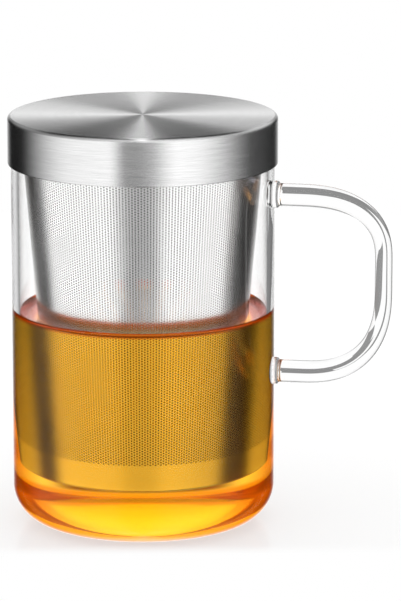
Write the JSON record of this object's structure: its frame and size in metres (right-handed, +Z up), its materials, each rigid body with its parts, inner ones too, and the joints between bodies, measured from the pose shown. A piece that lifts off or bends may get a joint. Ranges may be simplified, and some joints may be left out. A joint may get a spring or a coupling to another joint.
{
  "type": "tea mug with infuser and lid",
  "caption": "Clear glass tea mug with a D-shaped glass handle, a lift-out perforated steel infuser and a lift-off brushed steel lid.",
  "frame": {"origin": "centre of the flat underside of the cup, on the table", "axes": "+Z up along the cup's axis, +X towards the handle, +Y to the left of someone who looks along +X"},
  "size_m": [0.1247, 0.087, 0.1333],
  "materials": {
    "clear_glass": "gloss",
    "infuser_steel": "satin",
    "lid_steel": "satin",
    "liner_steel": "satin",
    "seal_silicone": "matte",
    "tea": "gloss"
  },
  "bodies": {
    "mug": {"glass_cup": "clear_glass", "glass_handle": "clear_glass"},
    "infuser": {"infuser_sheet_wall": "infuser_steel", "infuser_pan": "infuser_steel", "infuser_collar": "infuser_steel"},
    "lid": {"lid_shell": "lid_steel", "lid_liner": "liner_steel", "lid_seal": "seal_silicone"}
  },
  "joints": [
    {"name": "infuser_lift", "type": "slide", "parent": "mug", "child": "infuser", "axis": [0, 0, 1], "range_m": [0, 0.125]},
    {"name": "lid_lift", "type": "slide", "parent": "infuser", "child": "lid", "axis": [0, 0, 1], "range_m": [0, 0.04]}
  ]
}
